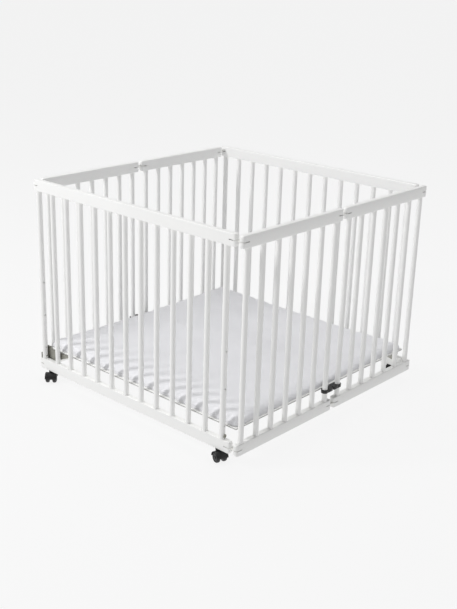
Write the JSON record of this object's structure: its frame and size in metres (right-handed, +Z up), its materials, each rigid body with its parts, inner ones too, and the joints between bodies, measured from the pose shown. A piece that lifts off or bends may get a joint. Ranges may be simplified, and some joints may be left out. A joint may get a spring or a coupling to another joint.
{
  "type": "playpen",
  "caption": "Square wooden playpen: barred sides, two of them folding inwards on steel link hinges, castors under the rigid sides, and a padded mat on a floor board.",
  "frame": {"origin": "on the ground, under the middle of the pen", "axes": "+X towards the right folding side, +Y towards the back rigid side, +Z up"},
  "size_m": [1.042, 1.102, 0.796],
  "materials": {
    "white_lacquer": "satin white lacquer on beech",
    "zinc_steel": "dull zinc plating",
    "black_plastic": "matt moulded",
    "floor_board": "white foil on fibreboard",
    "mat_fabric": "smooth pale grey woven cover over foam"
  },
  "bodies": {
    "front_side": {"front_top_rail": "white_lacquer", "front_lower_rail": "white_lacquer", "front_left_post": "white_lacquer", "front_right_post": "white_lacquer", "link_front_left_bottom": "zinc_steel", "link_front_left_top": "zinc_steel", "bracket_front_left": "zinc_steel", "bolt_front_left": "zinc_steel", "bolt_front_right": "zinc_steel", "castor_front_left_socket": "black_plastic", "castor_front_right_socket": "black_plastic"},
    "right_front": {"right_front_top_rail": "white_lacquer", "right_front_lower_rail": "white_lacquer", "link_front_right_bottom": "zinc_steel", "link_front_right_top": "zinc_steel", "stay_right_front": "black_plastic"},
    "right_link": {"link_right_middle_bottom": "zinc_steel", "link_right_middle_top": "zinc_steel"},
    "right_rear": {"right_rear_top_rail": "white_lacquer", "right_rear_lower_rail": "white_lacquer", "link_back_right_bottom": "zinc_steel", "link_back_right_top": "zinc_steel", "stay_right_rear": "black_plastic"},
    "back_side": {"back_top_rail": "white_lacquer", "back_lower_rail": "white_lacquer", "back_left_post": "white_lacquer", "back_right_post": "white_lacquer", "link_back_left_bottom": "zinc_steel", "link_back_left_top": "zinc_steel", "bracket_back_right": "zinc_steel", "bolt_back_left": "zinc_steel", "bolt_back_right": "zinc_steel", "castor_back_left_socket": "black_plastic", "castor_back_right_socket": "black_plastic"},
    "left_front": {"left_front_top_rail": "white_lacquer", "left_front_lower_rail": "white_lacquer", "stay_left_front": "black_plastic"},
    "left_link": {"link_left_middle_bottom": "zinc_steel", "link_left_middle_top": "zinc_steel"},
    "left_rear": {"left_rear_top_rail": "white_lacquer", "left_rear_lower_rail": "white_lacquer", "stay_left_rear": "black_plastic", "pin_back_left_bottom": "zinc_steel", "pin_back_left_top": "zinc_steel"},
    "floor_front": {"floor_board_front": "floor_board", "mat_front": "mat_fabric"},
    "floor_rear": {"floor_board_rear": "floor_board", "mat_rear": "mat_fabric"},
    "castor_front_left_swivel": {"castor_front_left_hood": "black_plastic"},
    "castor_front_left_axle": {"castor_front_left_wheels": "black_plastic"},
    "castor_front_right_swivel": {"castor_front_right_hood": "black_plastic"},
    "castor_front_right_axle": {"castor_front_right_wheels": "black_plastic"},
    "castor_back_left_swivel": {"castor_back_left_hood": "black_plastic"},
    "castor_back_left_axle": {"castor_back_left_wheels": "black_plastic"},
    "castor_back_right_swivel": {"castor_back_right_hood": "black_plastic"},
    "castor_back_right_axle": {"castor_back_right_wheels": "black_plastic"}
  },
  "joints": [
    {"name": "fold", "type": "hinge", "parent": "front_side", "child": "right_front", "pos_m": [0.477, -0.509, 0.067], "axis": [0, 0, 1], "range_deg": [0, 90], "deforming": ["mat_front", "mat_rear", "floor_board_front", "floor_board_rear"]},
    {"name": "right_link_turn", "type": "hinge", "parent": "right_front", "child": "right_link", "pos_m": [0.509, -0.017, 0.067], "axis": [0, 0, 1], "range_deg": [-90, 0]},
    {"name": "right_rear_turn", "type": "hinge", "parent": "right_link", "child": "right_rear", "pos_m": [0.509, 0.017, 0.067], "axis": [0, 0, 1], "range_deg": [-90, 0]},
    {"name": "back_turn", "type": "hinge", "parent": "right_rear", "child": "back_side", "pos_m": [0.477, 0.509, 0.067], "axis": [0, 0, 1], "range_deg": [0, 90]},
    {"name": "left_front_turn", "type": "hinge", "parent": "front_side", "child": "left_front", "pos_m": [-0.509, -0.477, 0.067], "axis": [0, 0, 1], "range_deg": [-90, 0]},
    {"name": "left_link_turn", "type": "hinge", "parent": "left_front", "child": "left_link", "pos_m": [-0.509, -0.017, 0.067], "axis": [0, 0, 1], "range_deg": [0, 90]},
    {"name": "left_rear_turn", "type": "hinge", "parent": "left_link", "child": "left_rear", "pos_m": [-0.509, 0.017, 0.067], "axis": [0, 0, 1], "range_deg": [0, 90]},
    {"name": "floor_front_tip", "type": "hinge", "parent": "front_side", "child": "floor_front", "pos_m": [0, -0.4948, 0.134], "axis": [1, 0, 0], "range_deg": [0, 90]},
    {"name": "floor_rear_tip", "type": "hinge", "parent": "back_side", "child": "floor_rear", "pos_m": [0, 0.4948, 0.134], "axis": [1, 0, 0], "range_deg": [-90, 0]},
    {"name": "castor_front_left_swivel", "type": "hinge", "parent": "front_side", "child": "castor_front_left_swivel", "pos_m": [-0.461, -0.509, 0.05], "axis": [0, 0, 1], "continuous": true},
    {"name": "castor_front_left_roll", "type": "hinge", "parent": "castor_front_left_swivel", "child": "castor_front_left_axle", "pos_m": [-0.45297, -0.51792, 0.019], "axis": [-0.7431, -0.6691, 0], "continuous": true},
    {"name": "castor_front_right_swivel", "type": "hinge", "parent": "front_side", "child": "castor_front_right_swivel", "pos_m": [0.429, -0.509, 0.05], "axis": [0, 0, 1], "continuous": true},
    {"name": "castor_front_right_roll", "type": "hinge", "parent": "castor_front_right_swivel", "child": "castor_front_right_axle", "pos_m": [0.44035, -0.51291, 0.019], "axis": [-0.3256, -0.9455, 0], "continuous": true},
    {"name": "castor_back_left_swivel", "type": "hinge", "parent": "back_side", "child": "castor_back_left_swivel", "pos_m": [-0.461, 0.509, 0.05], "axis": [0, 0, 1], "continuous": true},
    {"name": "castor_back_left_roll", "type": "hinge", "parent": "castor_back_left_swivel", "child": "castor_back_left_axle", "pos_m": [-0.45297, 0.51792, 0.019], "axis": [0.7431, -0.6691, 0], "continuous": true},
    {"name": "castor_back_right_swivel", "type": "hinge", "parent": "back_side", "child": "castor_back_right_swivel", "pos_m": [0.429, 0.509, 0.05], "axis": [0, 0, 1], "continuous": true},
    {"name": "castor_back_right_roll", "type": "hinge", "parent": "castor_back_right_swivel", "child": "castor_back_right_axle", "pos_m": [0.43129, 0.49722, 0.019], "axis": [-0.9816, -0.1908, 0], "continuous": true}
  ],
  "couplings": [
    {"joint": "right_link_turn", "follows": "fold", "ratio": -1},
    {"joint": "right_rear_turn", "follows": "fold", "ratio": -1},
    {"joint": "back_turn", "follows": "fold", "ratio": 1},
    {"joint": "left_front_turn", "follows": "fold", "ratio": -1},
    {"joint": "left_link_turn", "follows": "fold", "ratio": 1},
    {"joint": "left_rear_turn", "follows": "fold", "ratio": 1},
    {"joint": "floor_front_tip", "follows": "fold", "ratio": 1},
    {"joint": "floor_rear_tip", "follows": "fold", "ratio": -1}
  ]
}
